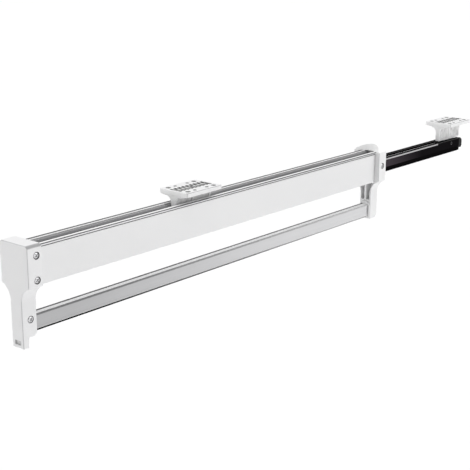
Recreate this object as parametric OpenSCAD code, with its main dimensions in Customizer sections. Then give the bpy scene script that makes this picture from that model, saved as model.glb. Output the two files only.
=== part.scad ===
// Telescopic closet rod: a top-mounted pull-out wardrobe rail, half drawn out.
//
// Millimetres, +Z up. The origin is the middle of the front bracket's top face,
// which lies against the underside of the wardrobe's top, so everything hangs
// below Z = 0. The rail runs along Y: the handle is at -Y, the back at +Y.
//
// Three bodies: the fixed rail with its two brackets; the carriage, which is
// the upper profile, its two end caps and the hanging rod; and the ball cage
// between them, which travels half as far as the carriage.

/* [Brackets] */
// Width of a bracket's mounting plate
plate_w = 34; // [32:1:40]
// Length of a bracket's mounting plate
plate_l = 48; // [47:1:50]
// Thickness of the mounting plate
plate_t = 4; // [3.5:0.5:5]
// Distance between the two brackets, centre to centre
bracket_pitch = 456; // [456:1:470]
// Distance between the two rows of mounting holes
hole_rows = 24; // [22:1:26]
// Distance between the outer holes of a row
hole_outer = 34; // [32:1:36]
// Distance between the inner holes of a row
hole_inner = 16; // [14:1:18]
// Diameter of the outer holes
hole_outer_d = 4.5; // [4:0.1:5]
// Diameter of the inner holes
hole_inner_d = 3.2; // [2.8:0.1:3.6]
// Thickness of a bracket's neck
neck_t = 5; // [4:0.5:5.5]

/* [Fixed rail] */
// Width of the rail's upper body
rail_w = 16.6; // [16:0.1:16.6]
// Width of the rail's lower body, where the ball grooves run
rail_lower_w = 15; // [14.6:0.1:15]
// Height of the rail
rail_h = 15.3; // [15:0.1:15.5]
// Distance of the rail's top below the mounting plane
rail_drop = 22; // [21:0.5:23]
// Overhang of the rail's front end past the front bracket's centre
rail_front = 26; // [25:1:40]
// Overhang of the rail's rear end past the rear bracket's centre
rail_rear = 14; // [13:1:15]

/* [Carriage] */
// Width of the upper profile over its side covers
profile_w = 22.6; // [22.6:0.2:23.4]
// Height of the upper profile
profile_h = 32.5; // [32:0.5:33]
// Distance of the upper profile's top below the mounting plane
profile_drop = 11.5; // [11:0.5:12]
// Visible length of the upper profile between its end caps
profile_l = 471.5; // [460:0.5:480]
// Width of the slot in the upper profile's top
slot_w = 9; // [8:0.5:10]
// Width of the end caps
cap_w = 33.4; // [32:0.2:36]
// Depth of the front end cap
front_cap_d = 14.5; // [14:0.5:16]
// Depth of the rear end cap
rear_cap_d = 14; // [14:0.5:16]
// Width of the end caps' legs
leg_w = 13.6; // [13.4:0.2:15]
// Distance of the front cap's back face in front of the origin, as drawn
front_cap_y = 189; // [185:1:193]

/* [Hanging rod] */
// Width of the hanging rod
rod_w = 9.6; // [9.4:0.1:10]
// Height of the hanging rod
rod_h = 14.5; // [14:0.1:15]
// Wall thickness of the hanging rod
rod_wall = 1.2; // [1:0.1:1.4]
// Distance of the hanging rod's top below the mounting plane
rod_drop = 69.1; // [68.6:0.1:69.4]

/* [Bearing] */
// Ball diameter
ball_d = 3.2; // [3.2:0.05:3.3]
// Balls on each side
balls = 12; // [8:1:13]
// Travel of the carriage from the drawn position outwards
travel_out = 163; // [150:1:165]

/* [Hidden] */
$fn = 48;

WHITE = [0.93, 0.93, 0.94];
ALU = [0.78, 0.79, 0.8];
BLACK = [0.08, 0.08, 0.09];
STEEL = [0.66, 0.67, 0.68];

// fixed rail levels
rail_top = -rail_drop;
rail_bot = rail_top - rail_h;
rail_step = rail_top - 10;         // under this level the rail is narrower
rail_y0 = -rail_front;
rail_y1 = bracket_pitch + rail_rear;
lip_t = 1.8;                       // lips over the rail's slot
chan_w = 11.2;                     // channel under the lips
chan_h = 5.2;
chan_bot = rail_top - lip_t - chan_h;
foot_l = 24;                       // bracket's foot in the rail's channel
screw_y = -3;                      // set screw, from the bracket's centre
race_z = rail_step - 2.6;          // height of the ball row
race_x = 8.4;                      // ball row's distance from the middle
race_r = ball_d / 2 + 0.15;        // groove radius, with running clearance
comb_pitch = 5;                    // slots across the bracket's plate

// carriage levels
prof_top = -profile_drop;
prof_bot = prof_top - profile_h;
wall_in = 9.3;                     // inner face of the profile's wall
cover_t = 0.7;
wall_out = profile_w / 2 - cover_t;
seam_z = prof_top - 1.4;           // underside of the lip's outer edge
front_y = -front_cap_y;            // front cap's back face
rear_y = front_y + profile_l;      // rear cap's front face
insert_d = 10;                     // how deep the profile sits in each cap
cap_top = prof_top + 3;
cap_low = prof_bot + 0.7;          // where the shoulders start
shoulder_r = 16;
crown_top = cap_top + 4;            // the rear cap's top is an arch
crown_rise = 6.5;
crown_r = (pow(cap_w / 2, 2) + pow(crown_rise, 2)) / (2 * crown_rise);
scoop_d = 7.5;                      // its front edge is scooped out over the slot
scoop_r = (13 * 13 + scoop_d * scoop_d) / (2 * scoop_d);
leg_bot = prof_bot - 42.4;
tab_bot = prof_bot - 51;
tab_d = 6;

// hanging rod levels
rod_top = -rod_drop;
rod_bot = rod_top - rod_h;
socket_d = 9;

// screws through the caps, and through the front leg into the rod
cap_screw_y = front_y - 5.3;
leg_screw_y = front_y - 6.1;
leg_screw_z = rod_top - 2.6;
rear_screw_y = rear_y + 6.9;

// ball cage: at full extension it fills the space between the rail's front
// stop and the rear cap's back wall, so it starts half a stroke behind that
stop_gap = 0.5;
cage_l = (rear_y + insert_d - travel_out) - rail_y0 - 2 * stop_gap;
cage_y0 = rail_y0 + stop_gap + travel_out / 2;
cage_in = 8.1;
cage_out = 8.6;
ball_pitch = (cage_l - 12) / (balls - 1);

// ---- helpers -------------------------------------------------------------

// extrudes a shape drawn in X and Z along Y, from y0 to y1
module along_y(y0, y1) {
    translate([0, y1, 0]) rotate([90, 0, 0]) linear_extrude(y1 - y0) children();
}

// a rectangle given by its corners
module rect(x0, z0, x1, z1) {
    translate([x0, z0]) square([x1 - x0, z1 - z0]);
}

// a rectangle with rounded corners
module round_rect(x0, z0, x1, z1, r) {
    rect(x0 + r, z0, x1 - r, z1);
    rect(x0, z0 + r, x1, z1 - r);
    for (x = [x0 + r, x1 - r], z = [z0 + r, z1 - r]) translate([x, z]) circle(r);
}

// a cylinder along X, from x0 to x1
module bar_x(x0, x1, y, z, r) {
    translate([min(x0, x1), y, z]) rotate([0, 90, 0]) cylinder(h = abs(x1 - x0), r = r);
}

// a cross-recessed screw driven towards -X; its head's top is at x
module cross_screw(x, y, z, head_d, head_h, shank_d, tip_x) {
    difference() {
        union() {
            bar_x(x - head_h, x - 0.4, y, z, head_d / 2);
            translate([x - 0.4, y, z]) rotate([0, 90, 0])
                cylinder(h = 0.4, r1 = head_d / 2, r2 = head_d / 2 - 0.7);
            bar_x(tip_x, x - head_h + 0.01, y, z, shank_d / 2);
        }
        for (a = [45, 135]) translate([x - 0.9, y, z]) rotate([a, 0, 0])
            translate([0, -head_d * 0.31, -0.4]) cube([1.2, head_d * 0.62, 0.8]);
    }
}

// ---- brackets --------------------------------------------------------------

// full T section at the front wall, the middle rib and the rear wall
module bracket_t_section() {
    difference() {
        union() {
            polygon([[-plate_w / 2, 0], [plate_w / 2, 0], [plate_w / 2, -plate_t],
                     [9.5, -plate_t - 0.9], [9.5, -11.9], [neck_t / 2, -11.9],
                     [-neck_t / 2, -11.9], [-9.5, -11.9], [-9.5, -plate_t - 0.9],
                     [-plate_w / 2, -plate_t]]);
            rect(-neck_t / 2, rail_top + 0.2, neck_t / 2, -11);
        }
        for (s = [-1, 1]) translate([s * (neck_t / 2 + 7), -11.9]) circle(7, $fn = 64);
    }
}

module bracket_at(yc) {
    h = plate_l / 2;
    translate([0, yc, 0]) difference() {
        union() {
            // mounting plate
            translate([0, 0, -plate_t]) linear_extrude(plate_t)
                round_rect(-plate_w / 2, -h, plate_w / 2, h, 2.5);
            // thicker band under the comb of slots
            translate([-7.8, -h + 1, -6]) cube([15.6, plate_l - 2, 3]);
            // thin web between the ribs
            translate([-1.6, -h + 1, rail_top + 0.2])
                cube([3.2, plate_l - 2, rail_drop - 4.2]);
            // front wall, middle rib and rear wall
            intersection() {
                union() {
                    along_y(-h + 0.4, -h + 2.6) bracket_t_section();
                    along_y(-1.3, 1.3) bracket_t_section();
                    along_y(h - 2.6, h - 0.4) bracket_t_section();
                }
                translate([0, 0, -30]) linear_extrude(31)
                    round_rect(-plate_w / 2, -h, plate_w / 2, h, 2.5);
            }
            // bar along the neck's lower edge, over the rail's slot
            translate([-neck_t / 2, -h + 0.4, rail_top + 0.2])
                cube([neck_t, plate_l - 0.8, 1.6]);
            // foot: fills the rail's slot, then spreads under its lips
            translate([-neck_t / 2, -foot_l / 2, rail_top - lip_t - 0.5])
                cube([neck_t, foot_l, lip_t + 1.5]);
            translate([-chan_w / 2 + 0.4, -foot_l / 2, chan_bot + 0.3])
                cube([chan_w - 0.8, foot_l, chan_h - 0.3]);
        }
        // comb: nine rows of narrow slots beside a middle rib, which the
        // first, the middle and the last row cross
        for (k = [-4:4])
            if (abs(k) % 4 == 0)
                translate([-6.9, k * comb_pitch - 1.1, -4.6]) cube([13.8, 2.2, 5]);
            else for (s = [-1, 1])
                translate([s > 0 ? 1.0 : -6.9, k * comb_pitch - 1.1, -4.6]) cube([5.9, 2.2, 5]);
        // mounting holes
        for (s = [-1, 1], t = [-1, 1]) {
            translate([s * hole_rows / 2, t * hole_outer / 2, -8]) cylinder(h = 9, d = hole_outer_d);
            translate([s * hole_rows / 2, t * hole_inner / 2, -8]) cylinder(h = 9, d = hole_inner_d);
        }
        // seat of the set screw's point
        translate([chan_w / 2 - 0.4 - 0.6, screw_y, chan_bot + chan_h / 2]) rotate([0, 90, 0])
            cylinder(h = 2, d = 3);
    }
}

module front_bracket() { color(WHITE) bracket_at(0); }
module rear_bracket() { color(WHITE) bracket_at(bracket_pitch); }

// socket set screw through the rail's near wall, its point in the bracket's foot
module set_screw(yc) {
    z = chan_bot + chan_h / 2;
    color(STEEL) difference() {
        union() {
            bar_x(5.2, rail_w / 2 - 0.3, yc, z, 1.95);
            bar_x(chan_w / 2 - 1.0, 5.3, yc, z, 1.4);
        }
        translate([rail_w / 2 - 1.8, yc, z]) rotate([0, 90, 0]) cylinder(h = 2, d = 2.3, $fn = 6);
    }
}
module front_bracket_screw() { set_screw(screw_y); }
module rear_bracket_screw() { set_screw(bracket_pitch + screw_y); }

// ---- fixed rail ------------------------------------------------------------

module rail_section() {
    difference() {
        union() {
            difference() {
                rect(-rail_w / 2, rail_step, rail_w / 2, rail_top);
                // rounded shoulders
                for (s = [-1, 1]) difference() {
                    translate([s * (rail_w / 2 - 0.55), rail_top - 0.55]) square(1.3, center = true);
                    translate([s * (rail_w / 2 - 1.2), rail_top - 1.2]) circle(1.2);
                }
            }
            rect(-rail_lower_w / 2, rail_bot, rail_lower_w / 2, rail_step + 0.1);
        }
        // slot and channel for the brackets' feet
        rect(-3, rail_top - lip_t - 1, 3, rail_top + 1);
        rect(-chan_w / 2, chan_bot, chan_w / 2, rail_top - lip_t);
        // lower chamber
        rect(-5.2, rail_bot + 1.4, 5.2, chan_bot - 1.6);
        // ball grooves
        for (s = [-1, 1]) translate([s * race_x, race_z]) circle(race_r);
    }
}

module fixed_rail() {
    color(BLACK) difference() {
        along_y(rail_y0, rail_y1) rail_section();
        // threads of the two set screws
        for (y = [0, bracket_pitch])
            bar_x(4, rail_w / 2 + 1, y + screw_y, chan_bot + chan_h / 2, 2);
    }
}

// front stop: closes the rail's end and carries the ears that hold the cage
module rail_front_stop() {
    color(BLACK) {
        difference() {
            along_y(rail_y0 - 3, rail_y0) round_rect(-8.9, rail_bot - 1.5, 8.9, rail_top - 0.5, 1);
            along_y(rail_y0 - 4, rail_y0 + 1) rect(-3, rail_top - 5, 3, rail_top + 1);
        }
        along_y(rail_y0 - 1, rail_y0 + 9) rect(-5.1, rail_bot + 1.5, 5.1, chan_bot - 1.7);
    }
}

// rear end plug: rounded nose, notched at its lower edge
module rail_end_plug() {
    nose = 7.5;
    color(BLACK) difference() {
        union() {
            translate([-rail_w / 2, rail_y1, 0]) rotate([90, 0, 90]) linear_extrude(rail_w)
                difference() {
                    union() {
                        rect(0, rail_step - 2.2, nose, rail_top);
                        rect(0, rail_bot, 1.5, rail_top);
                    }
                    difference() {
                        translate([nose - 5.5, rail_top - 5.5]) square([6, 6]);
                        translate([nose - 5.5, rail_top - 5.5]) circle(5.5);
                    }
                }
            along_y(rail_y1 - 9, rail_y1 + 1) rect(-5.1, rail_bot + 1.5, 5.1, chan_bot - 1.7);
        }
        // slot carried on through the nose, and the narrower lower edge
        translate([-3, rail_y1 - 7, rail_top - 3.4]) cube([6, 20, 6]);
        for (s = [-1, 1]) translate([s > 0 ? rail_lower_w / 2 : -rail_lower_w / 2 - 2, rail_y1 - 1, rail_bot - 1])
            cube([2, 12, rail_step - rail_bot + 1]);
    }
}

// ---- ball cage ---------------------------------------------------------------

module ball_cage() {
    color(STEEL) difference() {
        along_y(cage_y0, cage_y0 + cage_l) {
            for (s = [-1, 1]) rect(s > 0 ? cage_in : -cage_out, rail_bot - 1.1,
                                   s > 0 ? cage_out : -cage_in, rail_step - 0.4);
            rect(-cage_out, rail_bot - 1.1, cage_out, rail_bot - 0.6);
        }
        for (k = [0:balls - 1], s = [-1, 1])
            bar_x(s * 7, s * 10, cage_y0 + 6 + k * ball_pitch, race_z, ball_d / 2 + 0.1);
        // windows in the strip under the rail
        for (k = [0:5])
            translate([-5, cage_y0 + 12 + k * (cage_l - 24 - 14) / 5, rail_bot - 3])
                cube([10, 14, 4]);
    }
}

module ball_row(s) {
    color(STEEL) for (k = [0:balls - 1])
        translate([s * race_x, cage_y0 + 6 + k * ball_pitch, race_z]) sphere(d = ball_d, $fn = 32);
}
module bearing_balls_near() { ball_row(1); }
module bearing_balls_far() { ball_row(-1); }

// ---- upper profile -------------------------------------------------------------

module profile_section() {
    difference() {
        union() {
            for (s = [0, 1]) mirror([s, 0]) {
                // wall, lip, and the slot's turned-down edge
                rect(wall_in, prof_bot, wall_out, prof_top - 0.5);
                rect(slot_w / 2, seam_z, profile_w / 2 - 0.6, prof_top - 0.3);
                rect(profile_w / 2 - 0.7, seam_z, profile_w / 2, prof_top - 0.6);
                rect(slot_w / 2 + 0.3, prof_top - 0.5, profile_w / 2 - 0.6, prof_top);
                translate([profile_w / 2 - 0.6, prof_top - 0.6]) circle(0.6);
                translate([slot_w / 2 + 0.3, prof_top - 0.3]) circle(0.3);
                rect(slot_w / 2, prof_top - 3.6, slot_w / 2 + 1.2, prof_top - 0.3);
            }
            rect(-wall_out, prof_bot, wall_out, prof_bot + 1.6);
        }
        for (s = [0, 1]) mirror([s, 0]) {
            // decorative groove in the lip's top
            rect(profile_w / 2 - 2.25, prof_top - 0.7, profile_w / 2 - 1.25, prof_top + 1);
            // ball groove
            translate([race_x, race_z]) circle(race_r);
            // grooves that hold the side cover's ribs
            for (z = [prof_bot + 6, prof_top - 7])
                rect(wall_out - 0.6, z - 0.6, wall_out + 1, z + 0.6);
        }
    }
}

// every screw hole through the profile's walls and side covers
module cap_screw_holes(r) {
    for (s = [-1, 1]) {
        for (z = [-17.6, -37.6]) bar_x(s * 8, s * 12, cap_screw_y, z, r);
        bar_x(s * 8, s * 12, rear_screw_y, -26.2, r);
    }
}

module upper_profile() {
    color(ALU) difference() {
        along_y(front_y - insert_d, rear_y + insert_d) profile_section();
        cap_screw_holes(1.5);
    }
}

module side_cover(s) {
    color(WHITE) difference() {
        along_y(front_y - insert_d, rear_y + insert_d) mirror([s > 0 ? 0 : 1, 0]) {
            rect(wall_out, prof_bot + 0.3, profile_w / 2 - 0.3, seam_z - 0.3);
            rect(wall_out, prof_bot, profile_w / 2 - 0.3, prof_bot + 0.35);
            rect(profile_w / 2 - 0.35, prof_bot + 0.3, profile_w / 2, seam_z - 0.6);
            translate([profile_w / 2 - 0.3, prof_bot + 0.3]) circle(0.3);
            translate([profile_w / 2 - 0.3, seam_z - 0.6]) circle(0.3);
            for (z = [prof_bot + 6, prof_top - 7])
                rect(wall_out - 0.5, z - 0.5, wall_out + 0.1, z + 0.5);
        }
        cap_screw_holes(1.6);
    }
}
module near_side_cover() { side_cover(1); }
module far_side_cover() { side_cover(-1); }

// ---- end caps --------------------------------------------------------------------

// outline of a cap seen from the front, down to level z0, moved inwards by e
module cap_outline(z0, e = 0) {
    w = cap_w / 2 - e;
    l = leg_w / 2 - e;
    rt = 3 - min(e, 2);
    xc = leg_w / 2 + shoulder_r;
    zc = cap_low - sqrt(pow(shoulder_r, 2) - pow(xc - cap_w / 2, 2));
    difference() {
        union() {
            rect(-w, zc, w, cap_top - e - rt);
            rect(-w + rt, zc, w - rt, cap_top - e);
            for (s = [-1, 1]) translate([s * (w - rt), cap_top - e - rt]) circle(rt);
            rect(-l, z0, l, zc + 1);
        }
        for (s = [-1, 1]) translate([s * xc, zc]) circle(shoulder_r + e, $fn = 96);
    }
}

// pocket for the profile's end, seen from the front
module profile_pocket() {
    g = 0.1;
    rect(-profile_w / 2 - g, prof_bot - g, profile_w / 2 + g, prof_top + g);
}

// hollows of the leg between its outer wall and its middle rib
module leg_hollows() {
    z1 = prof_bot - 1.6;
    z0 = rod_top + 4.4;
    intersection() {
        cap_outline(leg_bot, 1.5);
        union() {
            rect(1.2, z0, 20, z1);
            rect(-20, z0, -1.2, z1);
        }
    }
}

// seat of the hanging rod's end
module rod_pocket() {
    g = 0.1;
    round_rect(-rod_w / 2 - g, rod_bot - g, rod_w / 2 + g, rod_top + g, 1.3);
}

// collar round the rod's seat, arched over the rod
module rod_collar() {
    difference() {
        union() {
            rect(-leg_w / 2 + 0.5, leg_bot + 1.2, leg_w / 2 - 0.5, rod_top - 0.5);
            translate([0, rod_top - 3]) circle(leg_w / 2 - 0.5, $fn = 64);
        }
        rect(-10, leg_bot - 5, 10, leg_bot + 1.2);
    }
}

module front_cap() {
    yb = front_y;
    yf = front_y - front_cap_d;
    color(WHITE) difference() {
        union() {
            intersection() {
                along_y(yf, yb) cap_outline(leg_bot);
                // the leg's lower back corner is rounded
                translate([-20, 0, 0]) rotate([90, 0, 90]) linear_extrude(40) difference() {
                    rect(yf - 1, leg_bot - 1, yb + 1, cap_top + 1);
                    difference() {
                        rect(yb - 3.6, leg_bot - 1.1, yb + 1.1, leg_bot + 3.6);
                        translate([yb - 3.6, leg_bot + 3.6]) circle(3.6);
                    }
                }
            }
            // pull tab under the leg
            along_y(yf, yf + tab_d) difference() {
                rect(-leg_w / 2, tab_bot, leg_w / 2, leg_bot + 8);
                for (s = [-1, 1]) difference() {
                    translate([s * (leg_w / 2 - 0.4), tab_bot + 0.4]) square(1, center = true);
                    translate([s * (leg_w / 2 - 1), tab_bot + 1]) circle(1);
                }
            }
        }
        along_y(yb - insert_d, yb + 1) profile_pocket();
        along_y(yb - 10, yb + 1) leg_hollows();
        along_y(yb - socket_d, yb + 1) rod_pocket();
        // blank recess on the tab's front face
        along_y(yf - 1, yf + 1.2) round_rect(-3.5, tab_bot + 2.9, 3.5, tab_bot + 6.5, 0.5);
        for (s = [-1, 1]) {
            for (z = [-17.6, -37.6]) {
                bar_x(s * (cap_w / 2 + 1), s * (cap_w / 2 - 1.8), cap_screw_y, z, 3.1);
                bar_x(s * (cap_w / 2 + 1), s * 10, cap_screw_y, z, 1.6);
            }
            bar_x(s * (leg_w / 2 + 1), s * (leg_w / 2 - 1.1), leg_screw_y, leg_screw_z, 3.0);
            bar_x(s * (leg_w / 2 + 1), s * 4, leg_screw_y, leg_screw_z, 1.6);
        }
    }
}

// the rear cap's outline, with an arched top
module crowned_outline() {
    intersection() {
        union() {
            cap_outline(leg_bot);
            rect(-cap_w / 2, cap_top - 8, cap_w / 2, crown_top);
        }
        union() {
            translate([0, crown_top - crown_r]) circle(crown_r, $fn = 128);
            rect(-cap_w, leg_bot - 1, cap_w, crown_top - crown_rise);
        }
    }
}

module rear_cap() {
    y0 = rear_y;
    y1 = rear_y + rear_cap_d;
    color(WHITE) difference() {
        union() {
            intersection() {
                along_y(y0, y1) crowned_outline();
                // the leg's lower end is rounded at the back
                translate([-20, 0, 0]) rotate([90, 0, 90]) linear_extrude(40) difference() {
                    rect(y0 - 1, leg_bot - 1, y1 + 1, crown_top + 1);
                    difference() {
                        rect(y1 - 6, leg_bot - 1, y1 + 1, leg_bot + 6);
                        translate([y1 - 6, leg_bot + 6]) circle(6);
                    }
                }
            }
            along_y(y0 - 1.5, y0 + 1) rod_collar();
        }
        along_y(y0 - 1, y0 + insert_d) profile_pocket();
        translate([0, y0 + scoop_d - scoop_r, prof_top]) cylinder(h = 10, r1 = scoop_r, r2 = scoop_r + 6, $fn = 96);
        along_y(y0 - 1, y0 + 9) leg_hollows();
        along_y(y0 - 3, y0 + socket_d) rod_pocket();
        // window in the back wall, shaped to the rail
        along_y(y0, y1 + 1) {
            rect(-rail_w / 2 - 0.4, rail_step - 0.4, rail_w / 2 + 0.4, rail_top + 0.4);
            rect(-rail_lower_w / 2 - 0.4, rail_bot - 0.4, rail_lower_w / 2 + 0.4, rail_step);
        }
        for (s = [-1, 1]) {
            bar_x(s * (cap_w / 2 + 1), s * (cap_w / 2 - 1.8), rear_screw_y, -26.2, 3.1);
            bar_x(s * (cap_w / 2 + 1), s * 10, rear_screw_y, -26.2, 1.6);
        }
    }
}

// screws at the caps' sides, near and far
module side_screws(y, zs, x, head_d, head_h, tip) {
    for (z = zs, s = [0, 1]) mirror([s, 0, 0])
        cross_screw(x, y, z, head_d, head_h, 2.9, tip);
}
module front_cap_screws() {
    color(STEEL) side_screws(cap_screw_y, [-17.6, -37.6], cap_w / 2 - 0.3, 5.4, 1.5, wall_in + 0.1);
}
module front_leg_screws() {
    color(STEEL) side_screws(leg_screw_y, [leg_screw_z], leg_w / 2 + 0.1, 5.2, 1.2, 2.0);
}
module rear_cap_screws() {
    color(STEEL) side_screws(rear_screw_y, [-26.2], cap_w / 2 - 0.3, 5.4, 1.5, wall_in + 0.1);
}

// rubber buffer stuck on the rear cap's back, which meets the rear bracket's neck
module closing_buffer() {
    color(BLACK) along_y(rear_y + rear_cap_d, rear_y + rear_cap_d + 2.5)
        round_rect(-3.5, cap_top - 5.8, 3.5, cap_top - 3.2, 0.8);
}

// ---- hanging rod ----------------------------------------------------------------

module hanging_rod() {
    color(ALU) difference() {
        along_y(front_y - socket_d, rear_y + socket_d) difference() {
            round_rect(-rod_w / 2, rod_bot, rod_w / 2, rod_top, 1.2);
            round_rect(-rod_w / 2 + rod_wall, rod_bot + rod_wall, rod_w / 2 - rod_wall,
                       rod_top - rod_wall - 0.6, 0.8);
            // seat of the top strip, and a fine line along each lower edge
            rect(-3.6, rod_top - 0.8, 3.6, rod_top + 1);
            for (s = [-1, 1]) translate([s * (rod_w / 2 + 0.15), rod_bot + 1.7])
                circle(0.45, $fn = 24);
        }
        for (s = [-1, 1]) bar_x(s * 2, s * 6, leg_screw_y, leg_screw_z, 1.5);
    }
}

module rod_top_strip() {
    color([0.86, 0.86, 0.87]) along_y(front_y - socket_d, rear_y + socket_d) {
        rect(-3.5, rod_top - 0.8, 3.5, rod_top - 0.3);
        rect(-3.2, rod_top - 0.4, 3.2, rod_top);
    }
}

// plastic insert in the rod's front end, which takes the leg screws
module rod_end_insert() {
    color(WHITE) difference() {
        along_y(front_y - socket_d, front_y + 10)
            round_rect(-rod_w / 2 + rod_wall + 0.15, rod_bot + rod_wall + 0.15,
                       rod_w / 2 - rod_wall - 0.15, rod_top - rod_wall - 0.75, 0.9);
        for (s = [-1, 1]) bar_x(s * 1.4, s * 6, leg_screw_y, leg_screw_z, 1.5);
    }
}

front_bracket();
rear_bracket();
fixed_rail();
front_bracket_screw();
rear_bracket_screw();
rail_front_stop();
rail_end_plug();
ball_cage();
bearing_balls_near();
bearing_balls_far();
upper_profile();
near_side_cover();
far_side_cover();
front_cap();
rear_cap();
hanging_rod();
rod_top_strip();
rod_end_insert();
front_cap_screws();
front_leg_screws();
rear_cap_screws();
closing_buffer();
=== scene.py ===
"""Looks of a top-mounted pull-out wardrobe rail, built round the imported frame.

Every piece is drawn in millimetres and turned into metres by M. X runs across
the rail, the handle is at -Y, +Z is up, and the mounting plane is Z = 0.
"""
import math

import bmesh
import bpy
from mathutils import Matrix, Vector


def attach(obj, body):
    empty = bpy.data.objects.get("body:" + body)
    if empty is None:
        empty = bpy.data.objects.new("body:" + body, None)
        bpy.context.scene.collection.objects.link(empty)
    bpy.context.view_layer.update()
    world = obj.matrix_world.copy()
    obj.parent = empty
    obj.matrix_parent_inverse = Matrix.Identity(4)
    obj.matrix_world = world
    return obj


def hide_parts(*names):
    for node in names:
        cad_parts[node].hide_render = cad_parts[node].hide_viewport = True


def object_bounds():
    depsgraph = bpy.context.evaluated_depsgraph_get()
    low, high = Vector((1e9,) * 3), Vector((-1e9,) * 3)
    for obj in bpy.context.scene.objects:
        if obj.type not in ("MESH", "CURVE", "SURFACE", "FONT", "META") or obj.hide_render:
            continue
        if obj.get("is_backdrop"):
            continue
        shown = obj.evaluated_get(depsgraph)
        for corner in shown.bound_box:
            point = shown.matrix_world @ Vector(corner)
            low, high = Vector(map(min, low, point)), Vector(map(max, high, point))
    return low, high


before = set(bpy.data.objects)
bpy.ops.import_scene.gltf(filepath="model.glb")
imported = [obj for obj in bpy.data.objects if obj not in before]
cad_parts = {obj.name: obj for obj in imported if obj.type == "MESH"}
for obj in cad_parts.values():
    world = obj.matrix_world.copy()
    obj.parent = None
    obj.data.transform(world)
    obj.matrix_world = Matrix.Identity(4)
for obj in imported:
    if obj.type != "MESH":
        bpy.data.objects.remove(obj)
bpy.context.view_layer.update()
scene = bpy.context.scene
M = 0.001

FIXED, CAGE, CARRIAGE = "fixed_rail_body", "cage_body", "carriage_body"

# levels and lengths of the frame, in millimetres
PLATE_W, PLATE_L, PLATE_T = 34.0, 48.0, 4.0
PITCH = 456.0
COMB = 5.0
NECK = 2.5
RAIL_TOP, RAIL_BOT, RAIL_STEP = -22.0, -37.3, -32.0
RAIL_HW, RAIL_LW = 8.3, 7.5
RAIL_Y0, RAIL_Y1 = -26.0, 470.0
LIP_T, CHAN_HW, CHAN_BOT = 1.8, 5.6, -29.0
RACE_X, RACE_Z, RACE_R = 8.4, -34.6, 1.75
PROF_TOP, PROF_BOT = -11.5, -44.0
HALF = 11.3
SLOT = 4.5
WALL_IN, WALL_OUT = 9.3, 10.6
SEAM = -12.9
FRONT_Y, REAR_Y = -189.0, 282.5
FRONT_D, REAR_D = 14.5, 14.0
CAP_TOP = -8.5
CAP_HW, LEG_HW = 16.7, 6.8
CAP_LOW, SHOULDER = -43.3, 16.0
LEG_BOT, TAB_BOT = -86.4, -95.0
ROD_TOP, ROD_BOT, ROD_HW = -69.1, -83.6, 4.8
CAP_SCREW_Y, LEG_SCREW_Y, LEG_SCREW_Z = FRONT_Y - 5.3, FRONT_Y - 6.1, ROD_TOP - 2.6


# ---------------------------------------------------------------------------
# mesh tools
# ---------------------------------------------------------------------------

AXES = {
    "x": lambda u, v, w: (w, u, v),
    "y": lambda u, v, w: (u, w, v),
    "z": lambda u, v, w: (u, v, w),
}


def outline(corners, d=0.0, n=5):
    """Closed line through corners (u, v, radius[, steps]), counter-clockwise,
    moved inwards by d. A corner keeps its number of points whatever d is."""
    pts, count = [], len(corners)
    for i in range(count):
        p0 = Vector(corners[i - 1][:2])
        p1 = Vector(corners[i][:2])
        p2 = Vector(corners[(i + 1) % count][:2])
        r = corners[i][2]
        steps = corners[i][3] if len(corners[i]) > 3 else n
        e1, e2 = (p1 - p0).normalized(), (p2 - p1).normalized()
        n1, n2 = Vector((-e1.y, e1.x)), Vector((-e2.y, e2.x))
        turn = e1.x * e2.y - e1.y * e2.x
        if abs(turn) < 1e-6:
            pts.append(p1 + n1 * d)
            continue
        # where the two moved edges meet
        t = ((n2 - n1).x * e2.y - (n2 - n1).y * e2.x) / turn * d
        corner = p1 + n1 * d + e1 * t
        if r <= 0:
            pts.append(corner)
            continue
        r = max(r - d, 0.03) if turn > 0 else max(r + d, 0.03)
        half = math.acos(max(-1.0, min(1.0, e1.dot(e2)))) / 2
        reach = r * math.tan(half)
        start = corner - e1 * reach
        side = n1 if turn > 0 else -n1
        centre = start + side * r
        a0 = math.atan2(start.y - centre.y, start.x - centre.x)
        sweep = 2 * half * (1 if turn > 0 else -1)
        for k in range(steps + 1):
            a = a0 + sweep * k / steps
            pts.append(centre + Vector((math.cos(a), math.sin(a))) * r)
    return pts


def make_object(name, bm):
    bmesh.ops.recalc_face_normals(bm, faces=bm.faces)
    mesh = bpy.data.meshes.new(name)
    bm.to_mesh(mesh)
    bm.free()
    o = bpy.data.objects.new(name, mesh)
    scene.collection.objects.link(o)
    return o


def add_rings(bm, rings, close=True):
    made = [[bm.verts.new(Vector(p) * M) for p in ring] for ring in rings]
    for a, b in zip(made, made[1:]):
        for i in range(len(a)):
            j = (i + 1) % len(a)
            bm.faces.new((a[i], a[j], b[j], b[i]))
    if close:
        bm.faces.new(made[0])
        bm.faces.new(list(reversed(made[-1])))
    return made


def loft(name, axis, corners, levels, n=5):
    """Solid whose outline follows levels [(position, inset), ...] along axis."""
    bm = bmesh.new()
    place = AXES[axis]
    add_rings(bm, [[place(p.x, p.y, w) for p in outline(corners, d, n)] for w, d in levels])
    return make_object(name, bm)


def soft_levels(w0, w1, r0, r1, k=4):
    """Levels from w0 to w1 whose end edges are rounded with radii r0 and r1."""
    sign = 1 if w1 > w0 else -1
    lv = []
    if r0 > 0:
        for i in range(k + 1):
            a = math.pi / 2 * i / k
            lv.append((w0 + sign * r0 * (1 - math.cos(a)), r0 * (1 - math.sin(a))))
    else:
        lv.append((w0, 0.0))
    if r1 > 0:
        for i in range(k + 1):
            a = math.pi / 2 * (k - i) / k
            lv.append((w1 - sign * r1 * (1 - math.cos(a)), r1 * (1 - math.sin(a))))
    else:
        lv.append((w1, 0.0))
    return lv


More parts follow.
